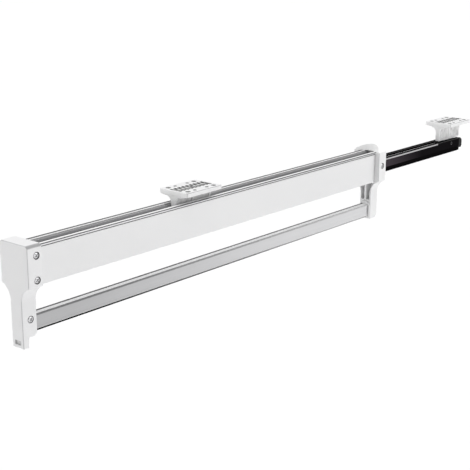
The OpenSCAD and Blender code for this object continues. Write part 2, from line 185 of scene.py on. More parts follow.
def flared(depth, surface, r, beyond, k=4):
    """Levels of a cutter from depth to past surface, whose mouth is rounded by r.
    beyond is how far it goes on past the surface, flared by r."""
    sign = 1 if surface > depth else -1
    lv = [(depth, 0.0)]
    for i in range(k + 1):
        a = math.pi / 2 * i / k
        lv.append((surface - sign * r * (1 - math.sin(a)), -r * (1 - math.cos(a))))
    lv.append((surface + sign * beyond, -r))
    return lv


def box_corners(u0, v0, u1, v1, r=0.0, n=4):
    return [(u0, v0, r, n), (u1, v0, r, n), (u1, v1, r, n), (u0, v1, r, n)]


def disc(cu, cv, r, n=32):
    """Corners of a round outline."""
    return [
        (cu + r * math.cos(2 * math.pi * k / n), cv + r * math.sin(2 * math.pi * k / n), 0)
        for k in range(n)
    ]


def lathe(name, axis, cu, cv, profile, n=40):
    """Solid of revolution about a line along axis; profile is [(w, radius), ...]."""
    bm = bmesh.new()
    place = AXES[axis]
    rings = []
    for w, r in profile:
        rings.append([
            place(cu + r * math.cos(2 * math.pi * k / n), cv + r * math.sin(2 * math.pi * k / n), w)
            for k in range(n)
        ])
    add_rings(bm, rings)
    return make_object(name, bm)


def merge(name, parts):
    """Several separate closed solids in one object."""
    bm = bmesh.new()
    for p in parts:
        bm.from_mesh(p.data)
        bpy.data.objects.remove(p)
    return make_object(name, bm)


def combine(a, others, op="DIFFERENCE"):
    for b in others:
        m = a.modifiers.new("cut", "BOOLEAN")
        m.solver = "MANIFOLD"
        m.operation = op
        m.object = b
    bpy.context.view_layer.update()
    dg = bpy.context.evaluated_depsgraph_get()
    mesh = bpy.data.meshes.new_from_object(a.evaluated_get(dg))
    a.modifiers.clear()
    old, a.data = a.data, mesh
    bpy.data.meshes.remove(old)
    a.data.name = a.name
    for b in others:
        bpy.data.objects.remove(b)
    return a


def cut(a, *others):
    return combine(a, others)


def join(a, *others):
    return combine(a, others, "UNION")


def dress(o, body, mat, nodes=(), angle=30.0, weighted=True):
    """Shades, paints and mounts a finished piece."""
    bm = bmesh.new()
    bm.from_mesh(o.data)
    bmesh.ops.remove_doubles(bm, verts=bm.verts, dist=2e-6)
    bmesh.ops.dissolve_degenerate(bm, edges=bm.edges, dist=1e-6)
    bmesh.ops.recalc_face_normals(bm, faces=bm.faces)
    limit = math.radians(angle)
    for f in bm.faces:
        f.smooth = True
    for e in bm.edges:
        e.smooth = len(e.link_faces) == 2 and e.calc_face_angle(0.0) < limit
    bm.to_mesh(o.data)
    bm.free()
    o.data.materials.clear()
    o.data.materials.append(mat)
    if weighted:
        w = o.modifiers.new("weighted", "WEIGHTED_NORMAL")
        w.keep_sharp = True
        w.weight = 60
    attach(o, body)
    if nodes:
        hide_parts(*nodes)
    return o


def arc(cu, cv, r, a0, a1, n):
    """Corners along an arc, from angle a0 to a1 in degrees."""
    out = []
    for k in range(n + 1):
        a = math.radians(a0 + (a1 - a0) * k / n)
        out.append((cu + r * math.cos(a), cv + r * math.sin(a), 0))
    return out


def paint(o, mat, test):
    """Gives the faces that pass test a second material; test gets the face's
    centre in millimetres and its normal."""
    o.data.materials.append(mat)
    k = len(o.data.materials) - 1
    for f in o.data.polygons:
        if test(f.center / M, f.normal):
            f.material_index = k
    return o


def mirror_x(corners):
    """The outline's mirror image, still counter-clockwise."""
    return [(-c[0],) + tuple(c[1:]) for c in reversed(corners)]


def symmetric(right):
    """Closed outline from its right half, listed upwards from the middle line."""
    return list(right) + [(-c[0],) + tuple(c[1:]) for c in reversed(right)]


# ---------------------------------------------------------------------------
# materials
# ---------------------------------------------------------------------------

class Mat:
    """A small helper that lays out a node material."""

    def __init__(self, name, color, rough, metallic=0.0, **sockets):
        self.m = bpy.data.materials.new(name)
        self.m.use_nodes = True
        self.t = self.m.node_tree
        self.b = self.t.nodes["Principled BSDF"]
        self.b.inputs["Base Color"].default_value = (*color, 1)
        self.b.inputs["Roughness"].default_value = rough
        self.b.inputs["Metallic"].default_value = metallic
        for k, v in sockets.items():
            self.b.inputs[k.replace("_", " ")].default_value = v
        self.m.diffuse_color = (*color, 1)
        self.coord = self.t.nodes.new("ShaderNodeTexCoord")

    def mapped(self, scale):
        n = self.t.nodes.new("ShaderNodeMapping")
        n.inputs["Scale"].default_value = scale
        self.t.links.new(self.coord.outputs["Object"], n.inputs["Vector"])
        return n.outputs["Vector"]

    def noise(self, scale, size=1.0, detail=3.0, rough=0.5):
        n = self.t.nodes.new("ShaderNodeTexNoise")
        n.inputs["Scale"].default_value = size
        n.inputs["Detail"].default_value = detail
        n.inputs["Roughness"].default_value = rough
        self.t.links.new(self.mapped(scale), n.inputs["Vector"])
        return n.outputs["Fac"]

    def spread(self, value, lo, hi, f0=0.3, f1=0.7):
        n = self.t.nodes.new("ShaderNodeMapRange")
        n.inputs["From Min"].default_value = f0
        n.inputs["From Max"].default_value = f1
        n.inputs["To Min"].default_value = lo
        n.inputs["To Max"].default_value = hi
        self.t.links.new(value, n.inputs["Value"])
        return n.outputs["Result"]

    def math(self, op, a, b=None):
        n = self.t.nodes.new("ShaderNodeMath")
        n.operation = op
        for s, v in zip(n.inputs, (a, b)):
            if v is None:
                continue
            if isinstance(v, (int, float)):
                s.default_value = v
            else:
                self.t.links.new(v, s)
        return n.outputs[0]

    def mix(self, fac, c0, c1):
        n = self.t.nodes.new("ShaderNodeMix")
        n.data_type = "RGBA"
        if isinstance(fac, (int, float)):
            n.inputs[0].default_value = fac
        else:
            self.t.links.new(fac, n.inputs[0])
        for s, v in ((n.inputs[6], c0), (n.inputs[7], c1)):
            if isinstance(v, tuple):
                s.default_value = (*v, 1)
            else:
                self.t.links.new(v, s)
        return n.outputs[2]

    def to(self, socket, value):
        self.t.links.new(value, self.b.inputs[socket])
        return self

    def bump(self, height, strength, distance, normal=None):
        n = self.t.nodes.new("ShaderNodeBump")
        n.inputs["Strength"].default_value = strength
        n.inputs["Distance"].default_value = distance
        self.t.links.new(height, n.inputs["Height"])
        if normal is not None:
            self.t.links.new(normal, n.inputs["Normal"])
        return n.outputs["Normal"]


def white_moulding(name="white_moulding", shade_top_edges=True):
    m = Mat(name, (0.82, 0.82, 0.825), 0.42, **{"IOR": 1.46})
    cloud = m.noise((22, 22, 22), 1.0, 2.0)
    fine = m.noise((900, 900, 900), 1.0, 2.0, 0.6)
    grain = m.noise((3800, 3800, 3800), 1.0, 1.0)
    clean = m.mix(m.spread(cloud, 0, 1), (0.810, 0.810, 0.817), (0.832, 0.831, 0.832))
    # painted shade greys the rounded outer edges: everywhere that faces no axis
    sep = m.t.nodes.new("ShaderNodeSeparateXYZ")
    m.t.links.new(m.coord.outputs["Normal"], sep.inputs[0])
    flat = m.math("MAXIMUM", m.math("ABSOLUTE", sep.outputs["X"]), m.math("ABSOLUTE", sep.outputs["Y"]))
    flat = m.math("MAXIMUM", flat, m.math("ABSOLUTE", sep.outputs["Z"]))
    edge = m.spread(flat, 1.0, 0.0, 0.76, 0.985)
    upper = m.spread(sep.outputs["Z"], 0.0, 1.0, -0.25, -0.05)
    edge = m.math("MULTIPLY", m.math("MULTIPLY", edge, upper), m.spread(fine, 0.85, 1.0))
    color = m.mix(edge, clean, (0.55, 0.55, 0.56))
    if shade_top_edges:
        # the painted shade is darkest along the top edges of the sides
        along = m.math("MULTIPLY", m.math("ABSOLUTE", sep.outputs["X"]), sep.outputs["Z"])
        color = m.mix(m.spread(along, 0.0, 0.9, 0.08, 0.38), color, (0.34, 0.34, 0.345))
    m.to("Base Color", color)
    m.to("Roughness", m.spread(m.math("ADD", m.math("MULTIPLY", cloud, 0.4), m.math("MULTIPLY", fine, 0.6)), 0.36, 0.50))
    n1 = m.bump(grain, 0.10, 0.00005)
    m.to("Normal", m.bump(fine, 0.10, 0.0002, n1))
    return m.m


def white_cover():
    m = Mat("white_cover", (0.83, 0.83, 0.835), 0.33, **{"IOR": 1.46})
    cloud = m.noise((14, 5, 14), 1.0, 2.0)
    drawn = m.noise((2600, 18, 2600), 1.0, 3.0, 0.6)
    fine = m.noise((2400, 2400, 2400), 1.0, 2.0)
    m.to("Base Color", m.mix(m.spread(cloud, 0, 1), (0.785, 0.785, 0.790), (0.803, 0.803, 0.806)))
    m.to("Roughness", m.spread(drawn, 0.30, 0.38))
    n1 = m.bump(drawn, 0.06, 0.00006)
    m.to("Normal", m.bump(fine, 0.05, 0.00004, n1))
    return m.m


def drawn_aluminium(name, lo, hi, r0, r1, bump=0.10, metallic=1.0, front=None):
    """Satin anodised aluminium, with fine lines drawn along the bar; front is
    how much darker the bar is painted at its front end, a painted shade."""
    m = Mat(name, hi, r0, metallic)
    long = m.noise((1500, 3.0, 1500), 1.0, 4.0, 0.65)
    fine = m.noise((5200, 30, 5200), 1.0, 3.0, 0.6)
    cloud = m.noise((16, 6, 16), 1.0, 2.0)
    both = m.math("ADD", m.math("MULTIPLY", long, 0.55), m.math("MULTIPLY", fine, 0.45))
    tone = m.math("ADD", m.math("MULTIPLY", both, 0.7), m.math("MULTIPLY", cloud, 0.3))
    color = m.mix(m.spread(tone, 0, 1), lo, hi)
    if front:
        sep = m.t.nodes.new("ShaderNodeSeparateXYZ")
        m.t.links.new(m.coord.outputs["Object"], sep.inputs[0])
        dull = m.mix(m.spread(tone, 0, 1), tuple(c * front for c in lo), tuple(c * front for c in hi))
        color = m.mix(m.spread(sep.outputs["Y"], 0.0, 1.0, -0.15, 0.25), dull, color)
    m.to("Base Color", color)
    m.to("Roughness", m.spread(both, r0, r1))
    m.to("Normal", m.bump(both, bump, 0.00006))
    return m.m


def rail_black(name="black_rail", level=0.18, rough=0.12, base=(0.0045, 0.0040, 0.0046), sheen_color=None):
    """Gloss black coating over drawn metal; sheen_color is the colour of a painted
    sheen, which shows along the rail's middle and fades towards the rear."""
    m = Mat(name, base, rough, 0.0, **{"Specular_IOR_Level": level, "IOR": 1.5})
    drawn = m.noise((1700, 6, 1700), 1.0, 3.0, 0.6)
    peel = m.noise((260, 90, 260), 1.0, 2.0)
    color = m.mix(m.spread(drawn, 0, 1), tuple(c * 0.8 for c in base), tuple(c * 1.25 for c in base))
    if sheen_color:
        sep = m.t.nodes.new("ShaderNodeSeparateXYZ")
        m.t.links.new(m.coord.outputs["Object"], sep.inputs[0])
        fade = m.spread(sep.outputs["Y"], 1.0, 0.0, 0.305, 0.385)
        painted_sheen = m.math("MULTIPLY", fade, m.spread(m.noise((60, 9, 60), 1.0, 2.0), 0.75, 1.0))
        color = m.mix(painted_sheen, color, sheen_color)
    m.to("Base Color", color)
    m.to("Roughness", m.spread(m.math("ADD", m.math("MULTIPLY", drawn, 0.5), m.math("MULTIPLY", peel, 0.5)), rough * 0.8, rough * 1.35))
    n1 = m.bump(drawn, 0.05, 0.00004)
    m.to("Normal", m.bump(peel, 0.06, 0.00012, n1))
    return m.m


def plain_black(name, base, rough, level=0.5):
    m = Mat(name, base, rough, 0.0, **{"Specular_IOR_Level": level})
    fine = m.noise((1200, 1200, 1200), 1.0, 2.0)
    m.to("Roughness", m.spread(fine, rough * 0.85, rough * 1.2))
    m.to("Normal", m.bump(fine, 0.08, 0.00008))
    return m.m


def painted_dark_line(name, front, rear):
    """Painted dark line along the rod's edge, standing in for a dark reflection, paler towards the rear."""
    m = Mat(name, front, 0.55, 0.0, **{"Specular_IOR_Level": 0.05})
    sep = m.t.nodes.new("ShaderNodeSeparateXYZ")
    m.t.links.new(m.coord.outputs["Object"], sep.inputs[0])
    along = m.spread(sep.outputs["Y"], 0.0, 1.0, -0.12, 0.28)
    drawn = m.noise((1500, 8, 1500), 1.0, 3.0)
    tone = m.mix(along, front, rear)
    m.to("Base Color", m.mix(m.spread(drawn, 0.0, 0.35), tone, (0.0, 0.0, 0.0)))
    m.to("Roughness", m.spread(drawn, 0.38, 0.52))
    return m.m


def zinc(name, c, r0, r1):
    m = Mat(name, c, r0, 1.0)
    fine = m.noise((1600, 1600, 1600), 1.0, 3.0)
    spots = m.noise((420, 420, 420), 1.0, 2.0)
    m.to("Base Color", m.mix(m.spread(spots, 0, 1), tuple(x * 0.9 for x in c), c))
    m.to("Roughness", m.spread(fine, r0, r1))
    m.to("Normal", m.bump(fine, 0.06, 0.00004))
    return m.m


def strip_plastic(name, tone):
    m = Mat(name, (tone, tone, tone), 0.5, **{"IOR": 1.46})
    drawn = m.noise((2400, 10, 2400), 1.0, 3.0, 0.6)
    cloud = m.noise((20, 6, 20), 1.0, 2.0)
    m.to("Base Color", m.mix(m.spread(cloud, 0, 1), (tone - 0.015,) * 3, (tone + 0.015,) * 3))
    m.to("Roughness", m.spread(drawn, 0.45, 0.56))
    m.to("Normal", m.bump(drawn, 0.10, 0.00008))
    return m.m


def shaded_moulding(name, tone):
    """The same moulding painted darker: painted shade for its narrow cells, holes and recesses."""
    m = Mat(name, (tone, tone, tone), 0.7)
    cloud = m.noise((180, 180, 180), 1.0, 3.0)
    fine = m.noise((1400, 1400, 1400), 1.0, 2.0)
    m.to("Base Color", m.mix(m.spread(cloud, 0, 1), (tone * 0.8,) * 3, (tone * 1.2,) * 3))
    m.to("Roughness", m.spread(fine, 0.6, 0.8))
    m.to("Normal", m.bump(fine, 0.10, 0.0001))
    return m.m


WHITE = white_moulding()
# the rear cap's moulding, without the painted shade along the top edges
WHITE_PLAIN = white_moulding("white_moulding_rear", False)
# painted light: a brighter white for faces that should look more lit
WHITE_PAINTED_LIT = strip_plastic("white_moulding_painted_light", 0.95)
# painted shade: darker copies of the moulding for cells, holes, troughs and recesses
DEEP_SHADE = shaded_moulding("moulding_deep_shade", 0.06)
CELL_SHADE = shaded_moulding("moulding_cell_shade", 0.20)
SHADE = shaded_moulding("moulding_shade", 0.36)
WEB_SHADE = shaded_moulding("moulding_web_shade", 0.66)
COVER = white_cover()
PROFILE = drawn_aluminium("profile_aluminium", (0.72, 0.72, 0.73), (0.84, 0.84, 0.85), 0.14, 0.22, 0.06)
CHANNEL = drawn_aluminium("raw_aluminium", (0.58, 0.58, 0.59), (0.68, 0.68, 0.69), 0.42, 0.55, 0.10, 0.3)
# painted shade and painted highlight: darker and brighter aluminium laid in stripes along the lips and the rod
LIP_SHADE = drawn_aluminium("lip_shade_aluminium", (0.34, 0.34, 0.345), (0.42, 0.42, 0.425), 0.36, 0.50, 0.10, 0.8)
PAINTED_HIGHLIGHT = drawn_aluminium("painted_highlight_aluminium", (0.90, 0.90, 0.90), (0.96, 0.96, 0.96), 0.34, 0.46, 0.04, 0.1)
EDGE_SHADE = drawn_aluminium("edge_shade_aluminium", (0.52, 0.52, 0.53), (0.62, 0.62, 0.63), 0.30, 0.42, 0.08, 0.9)
# painted shade: the rod is painted darker towards its front end
ROD = drawn_aluminium("rod_aluminium", (0.60, 0.60, 0.61), (0.70, 0.70, 0.71), 0.26, 0.38, front=0.66)
STRIP = strip_plastic("rod_strip", 0.93)
RAIL = rail_black("black_rail", 0.5)
# the flank's warm tone is a painted sheen
FLANK = rail_black("black_flank", 0.0, 0.3, (0.0075, 0.0068, 0.0078), sheen_color=(0.062, 0.052, 0.060))
TRACK = rail_black("black_track", 0.0, 0.5, (0.0050, 0.0046, 0.0050))
# painted highlight: a pale line along the rail's edges
HIGHLIGHT_LINE = rail_black("black_painted_highlight", 0.5, 0.3, (0.46, 0.45, 0.46))
PLUG = plain_black("black_plastic", (0.006, 0.0055, 0.0062), 0.30, 0.12)
# painted reflections: dark lines along the rod's edges and bottom
DARK_NEAR_LINE = painted_dark_line("dark_line", (0.26, 0.26, 0.264), (0.68, 0.68, 0.684))
FAR_LINE = painted_dark_line("dark_far_line", (0.125, 0.125, 0.127), (0.20, 0.20, 0.203))
DARK_BOTTOM_LINE = painted_dark_line("dark_bottom_line", (0.006, 0.006, 0.006), (0.62, 0.62, 0.625))
GAP = plain_black("shadow_gap", (0.05, 0.05, 0.05), 0.7)
RUBBER = plain_black("black_rubber", (0.018, 0.018, 0.018), 0.75)
BEARING = zinc("bearing_steel", (0.58, 0.58, 0.59), 0.16, 0.26)
BLACK_STEEL = zinc("blackened_steel", (0.10, 0.10, 0.104), 0.26, 0.40)
SCREW = zinc("screw_steel", (0.70, 0.70, 0.71), 0.22, 0.36)


# ---------------------------------------------------------------------------
# brackets
# ---------------------------------------------------------------------------

def bracket(name, yc, node):
    h = PLATE_L / 2
    hw = PLATE_W / 2
    body = loft(name, "z", box_corners(-hw, yc - h, hw, yc + h, 2.5, 8),
                soft_levels(-PLATE_T, 0.0, 0.45, 0.5, 4))
    parts = []
    # band under the comb, and the web between the ribs
    parts.append(loft("band", "y", box_corners(-7.8, -6.0, 7.8, -2.0, 0.3, 3), [(yc - h + 1, 0), (yc + h - 1, 0)]))
    parts.append(loft("web", "y", box_corners(-1.9, RAIL_TOP + 0.2, 1.9, -3.0), [(yc - h + 1, 0), (yc + h - 1, 0)]))
    tee = [(-NECK, RAIL_TOP + 0.2, 0.3, 3), (NECK, RAIL_TOP + 0.2, 0.3, 3),
           (NECK, -4.9, 7.0, 20), (9.7, -4.9, 0), (hw, -PLATE_T, 0.3, 2), (hw, -1.2, 0),
           (-hw, -1.2, 0), (-hw, -PLATE_T, 0.3, 2), (-9.7, -4.9, 0), (-NECK, -4.9, 7.0, 20)]
    for a, b in ((-h + 0.4, -h + 2.6), (-1.3, 1.3), (h - 2.6, h - 0.4)):
        parts.append(loft("wall", "y", tee, soft_levels(yc + a, yc + b, 0.3, 0.3, 3)))
    # bar along the neck's lower edge, and the foot in the rail
    parts.append(loft("bar", "y", box_corners(-NECK, RAIL_TOP + 0.2, NECK, RAIL_TOP + 1.8, 0.25, 3),
                      soft_levels(yc - h + 0.4, yc + h - 0.4, 0.25, 0.25, 2)))
    foot = [(-5.2, CHAN_BOT + 0.3, 0.4, 3), (5.2, CHAN_BOT + 0.3, 0.4, 3), (5.2, -23.8, 0.3, 3),
            (NECK, -23.8, 0.3, 3), (NECK, -21.0, 0), (-NECK, -21.0, 0), (-NECK, -23.8, 0.3, 3), (-5.2, -23.8, 0.3, 3)]
    parts.append(loft("foot", "y", foot, soft_levels(yc - 12, yc + 12, 0.5, 0.5, 3)))
    # keep the walls inside the plate's rounded corners
    keep = loft("keep", "z", box_corners(-hw, yc - h, hw, yc + h, 2.5, 8), [(-35, 0), (0.2, 0)])
    walls = join(parts[0], *parts[1:])
    walls = combine(walls, [keep], "INTERSECT")
    body = join(body, walls)
    # comb: rows of slots beside a middle rib, three of which cross it
    cutters = []
    for k in range(-4, 5):
        y = yc + k * COMB
        for x0, x1 in ((-6.9, 6.9),) if k % 4 == 0 else ((-6.9, -1.0), (1.0, 6.9)):
            cutters.append(loft("c", "z", box_corners(x0, y - 1.1, x1, y + 1.1, 0.35, 3), flared(-4.6, 0.0, 0.15, 1.0, 3)))
    # the cross ribs are a little lower beside the middle rib
    troughs = [loft("c", "z", box_corners(x0, yc - 4 * COMB - 0.9, x1, yc + 4 * COMB + 0.9, 0.3, 3), flared(-0.5, 0.0, 0.1, 1.0, 3))
               for x0, x1 in ((-4.4, -0.8), (0.8, 5.2))]
    for s in (-1, 1):
        for t in (-1, 1):
            cutters.append(loft("c", "z", disc(s * 12, yc + t * 17, 2.25, 32), [(-8, 0), *flared(-2.0, 0.0, 0.3, 1.0, 4)]))
            cutters.append(loft("c", "z", disc(s * 12, yc + t * 8, 1.6, 28), [(-8, 0), *flared(-1.5, 0.0, 0.2, 1.0, 3)]))
    cutters.append(lathe("c", "x", yc - 3, CHAN_BOT + 2.6, [(4.6, 1.5), (6.6, 1.5)], 24))
    body = cut(body, merge("cutters", cutters), *troughs)
    dress(body, FIXED, WHITE, [node], 28)

    def cell(c, lo, hi):
        return -4.7 < c.z < -0.55 and lo < c.x < hi and abs(c.y - yc) < 21.3

    def small_hole(c):
        return -4.5 < c.z < -0.05 and math.hypot(abs(c.x) - 12, abs(c.y - yc) - 8) < 1.78

    def large_hole(c):
        return -4.5 < c.z < -0.05 and math.hypot(abs(c.x) - 12, abs(c.y - yc) - 17) < 2.5

    def trough(c):
        return -0.56 < c.z < -0.05 and 0.7 < abs(c.x) < 5.3 and abs(c.y - yc) < 21.3

    # painted light: faces that look to the front are painted a brighter white
    paint(body, WHITE_PAINTED_LIT, lambda c, n: n.y < -0.7 and c.z > RAIL_TOP)
    # painted shade: cells and small holes are painted dark, the -X cells darker than the +X ones; troughs and large
    # holes a mid grey
    paint(body, DEEP_SHADE, lambda c, n: cell(c, -7.1, 1.0) or small_hole(c))
    paint(body, CELL_SHADE, lambda c, n: cell(c, 1.0, 7.1))
    paint(body, SHADE, lambda c, n: trough(c) or large_hole(c))
    # painted shade: the web, which lies back between the ribs, is painted darker
    return paint(body, WEB_SHADE, lambda c, n: 1.85 < abs(c.x) < 1.95 and RAIL_TOP < c.z < -4)


bracket("front_bracket_moulding", 0.0, "front_bracket")
bracket("rear_bracket_moulding", PITCH, "rear_bracket")


# ---------------------------------------------------------------------------
# fixed rail
# ---------------------------------------------------------------------------

def rail():
    r = RACE_R
    dz = math.sqrt(r * r - (RACE_X - RAIL_LW) ** 2)
    a = math.atan2(dz, RAIL_LW - RACE_X)
    groove = []
    for k in range(13):
        t = -a + (-2 * math.pi + 2 * a) * k / 12
        groove.append((RACE_X + r * math.cos(t), RACE_Z + r * math.sin(t), 0))
    right = [(5.9, RAIL_BOT, 0), (RAIL_LW, RAIL_BOT, 0.35, 3)] + groove + [
        (RAIL_LW, RAIL_STEP, 0.15, 2), (RAIL_HW, RAIL_STEP, 0.3, 3),
        # fine ridge under the top edge, which carries a painted highlight line
        (RAIL_HW - 0.12, RAIL_TOP - 1.95, 0), (RAIL_HW, RAIL_TOP - 1.8, 0.05, 2), (RAIL_HW, RAIL_TOP - 1.35, 0.05, 2),
        (RAIL_HW - 0.12, RAIL_TOP - 1.2, 0),
        (RAIL_HW - 0.12, RAIL_TOP, 1.05, 8), (4.0, RAIL_TOP, 0), (3.0, RAIL_TOP, 0.55, 5),
        (3.0, RAIL_TOP - LIP_T, 0.3, 3), (CHAN_HW, RAIL_TOP - LIP_T, 0.3, 3), (CHAN_HW, CHAN_BOT, 0.3, 3)]
    levels = soft_levels(RAIL_Y0, RAIL_Y1, 0.25, 0.25, 2)
    levels.insert(len(levels) // 2, (PITCH - 35, 0))
    body = loft("rail_bar", "y", symmetric(right), levels)
    hollow = loft("c", "y", box_corners(-5.2, RAIL_BOT + 1.4, 5.2, CHAN_BOT - 1.6, 0.5, 4), [(RAIL_Y0 - 2, 0), (RAIL_Y1 + 2, 0)])
    holes = [lathe("c", "x", y - 3, CHAN_BOT + 2.6,
                   [(4.5, 2.0), (RAIL_HW - 0.35, 2.0), (RAIL_HW - 0.1, 2.12), (RAIL_HW, 2.35), (RAIL_HW + 1, 2.35)], 36)
             for y in (0.0, PITCH)]
    body = cut(body, hollow, merge("cutters", holes))
    o = dress(body, FIXED, RAIL, ["fixed_rail"], 26)
    # the ball tracks, the slot and the underside are left dull
    paint(o, TRACK, lambda c, n: c.z < RAIL_STEP + 0.05 or abs(c.x) < 2.9 and c.z < RAIL_TOP - 0.1)
    # painted sheen: the flanks take a warm tone that fades out towards the rear, standing in for a reflection
    paint(o, FLANK, lambda c, n: abs(c.x) > RAIL_HW - 0.4 and RAIL_STEP < c.z < RAIL_TOP - 0.9)
    paint(o, TRACK, lambda c, n: c.z > RAIL_TOP - 0.1 and n.z > 0.95)
    # painted highlights: the outer top edges and the slot's +X edge are painted pale, except near the rear bracket
    return paint(o, HIGHLIGHT_LINE, lambda c, n: c.y < PITCH - 60 and (abs(c.x) > RAIL_HW - 0.6 and RAIL_TOP - 1.7 < c.z < RAIL_TOP - 0.55
                 or 2.9 < c.x < 4.0 and n.z > 0.1 and c.z > RAIL_TOP - 0.6))


rail()


def end_plug():
    nose = 7.5
    y = RAIL_Y1
    side = [(y, RAIL_BOT + 0.05, 0.4, 3), (y + 1.5, RAIL_BOT + 0.05, 0.5, 4), (y + 1.5, RAIL_STEP - 2.2, 0.6, 4),
            (y + nose, RAIL_STEP - 2.2, 0.9, 5), (y + nose, RAIL_TOP - 0.05, 5.4, 16), (y, RAIL_TOP - 0.05, 0)]
    body = loft("rail_nose", "x", side, soft_levels(-RAIL_HW + 0.05, RAIL_HW - 0.05, 0.7, 0.7, 4))
    spigot = loft("c", "y", box_corners(-5.1, RAIL_BOT + 1.5, 5.1, CHAN_BOT - 1.7, 0.4, 3), soft_levels(y - 9, y + 1, 0.5, 0.0, 3))
    body = join(body, spigot)
    cutters = [loft("c", "y", box_corners(-3.0, RAIL_TOP - 3.4, 3.0, RAIL_TOP + 3.0, 0.4, 4), [(y - 12, 0), (y + 14, 0)])]
    for s in (1, -1):
        x0, x1 = (RAIL_LW, RAIL_LW + 3) if s > 0 else (-RAIL_LW - 3, -RAIL_LW)
        cutters.append(loft("c", "y", box_corners(x0, RAIL_BOT - 2, x1, RAIL_STEP, 0.0), [(y - 12, 0), (y + 14, 0)]))
    body = cut(body, merge("cutters", cutters))
    return dress(body, FIXED, PLUG, ["rail_end_plug"], 28)


end_plug()


def set_screw(name, yc, node):
    z = CHAN_BOT + 2.6
    y = yc - 3
    body = lathe(name, "x", y, z, [(4.6, 1.15), (4.85, 1.4), (5.25, 1.4), (5.3, 1.8), (5.45, 1.95),
                                   (RAIL_HW - 0.55, 1.95), (RAIL_HW - 0.36, 1.88), (RAIL_HW - 0.3, 1.65)], 36)
    hexa = loft("c", "x", [(y + 1.16 * math.cos(math.radians(60 * k)), z + 1.16 * math.sin(math.radians(60 * k)), 0.08, 2)
                           for k in range(6)], [(RAIL_HW - 1.8, 0), *flared(RAIL_HW - 0.6, RAIL_HW - 0.3, 0.12, 0.6, 3)])
    body = cut(body, hexa)
    return dress(body, FIXED, BLACK_STEEL, [node], 30)


set_screw("front_set_screw", 0.0, "front_bracket_screw")
set_screw("rear_set_screw", PITCH, "rear_bracket_screw")


# ---------------------------------------------------------------------------
# upper profile and its covers
# ---------------------------------------------------------------------------

def profile():
    r = RACE_R
    dz = math.sqrt(r * r - (WALL_IN - RACE_X) ** 2)
    a = math.atan2(dz, WALL_IN - RACE_X)
    groove = []
    for k in range(13):
        t = a - 2 * a * k / 12
        groove.append((RACE_X + r * math.cos(t), RACE_Z + r * math.sin(t), 0))
    right = [(WALL_OUT, PROF_BOT, 0.25, 3)]
    for z in (PROF_BOT + 6, PROF_TOP - 7):
        right += [(WALL_OUT, z - 0.6, 0), (WALL_OUT - 0.6, z - 0.6, 0), (WALL_OUT - 0.6, z + 0.6, 0), (WALL_OUT, z + 0.6, 0)]
    right += [(WALL_OUT, SEAM, 0), (HALF, SEAM, 0.12, 2), (HALF, PROF_TOP - 0.30, 0.45, 6),
              # the lip's top: outer strip, groove, bright bead, and a ledge down to the slot
              (10.6, PROF_TOP - 0.25, 0.1, 3), (10.6, PROF_TOP - 1.2, 0.1, 2),
              (9.3, PROF_TOP - 1.2, 0.1, 2), (9.3, PROF_TOP - 0.22, 0.1, 3), (8.4, PROF_TOP - 0.17, 0), (8.2, PROF_TOP - 0.02, 0),
              (6.8, PROF_TOP - 0.02, 0),
              (5.8, PROF_TOP - 0.02, 0.35, 5), (5.8, PROF_TOP - 0.95, 0.1, 2), (SLOT, PROF_TOP - 1.0, 0.3, 4),
              (SLOT, PROF_TOP - 3.6, 0.3, 3), (SLOT + 1.2, PROF_TOP - 3.6, 0.3, 3), (SLOT + 1.2, SEAM - 0.3, 0.2, 2),
              (WALL_IN, SEAM - 0.3, 0.3, 3)] + groove + [(WALL_IN, PROF_BOT + 1.6, 0.4, 3)]
    body = loft("profile_bar", "y", symmetric(right), [(FRONT_Y - 10, 0), (REAR_Y + 10, 0)])
    holes = []
    for s in (1, -1):
        for z in (-17.6, -37.6):
            holes.append(lathe("c", "x", CAP_SCREW_Y, z, sorted([(s * 8.0, 1.5), (s * 12.0, 1.5)]), 24))
        holes.append(lathe("c", "x", REAR_Y + 6.9, -26.2, sorted([(s * 8.0, 1.5), (s * 12.0, 1.5)]), 24))
    body = cut(body, merge("cutters", holes))
    dress(body, CARRIAGE, PROFILE, ["upper_profile"], 24)
    # the inner faces keep their raw finish
    paint(body, CHANNEL, lambda c, n: abs(c.x) < WALL_IN + 0.02 and c.z < PROF_TOP - 1.2)
    # painted shade: the ledge into the slot and the outer strip and face are painted in darker aluminium
    paint(body, LIP_SHADE, lambda c, n: abs(c.x) < 5.85 and PROF_TOP - 1.2 < c.z < PROF_TOP - 0.25)
    paint(body, EDGE_SHADE, lambda c, n: abs(c.x) > 10.5 and c.z > SEAM - 0.02)
    # painted highlight: the +X bead and the slot side of the -X bead are painted bright; the rest of the -X lip top and
    # the strip beyond the +X bead are painted darker
    paint(body, PAINTED_HIGHLIGHT, lambda c, n: (5.7 < c.x < 8.3 or -6.8 < c.x < -5.7) and c.z > PROF_TOP - 0.5)
    paint(body, LIP_SHADE, lambda c, n: (8.3 < c.x < 9.4 or c.x < -6.8) and c.z > PROF_TOP - 0.5)
    return paint(body, GAP, lambda c, n: 9.2 < abs(c.x) < 10.7 and PROF_TOP - 1.25 < c.z < PROF_TOP - 0.06 and abs(n.z) < 0.99
                 or 9.4 < abs(c.x) < 10.5 and c.z < PROF_TOP - 1.0 and c.z > SEAM
                 or abs(c.x) > WALL_OUT - 0.05 and c.z < SEAM + 0.02)


profile()


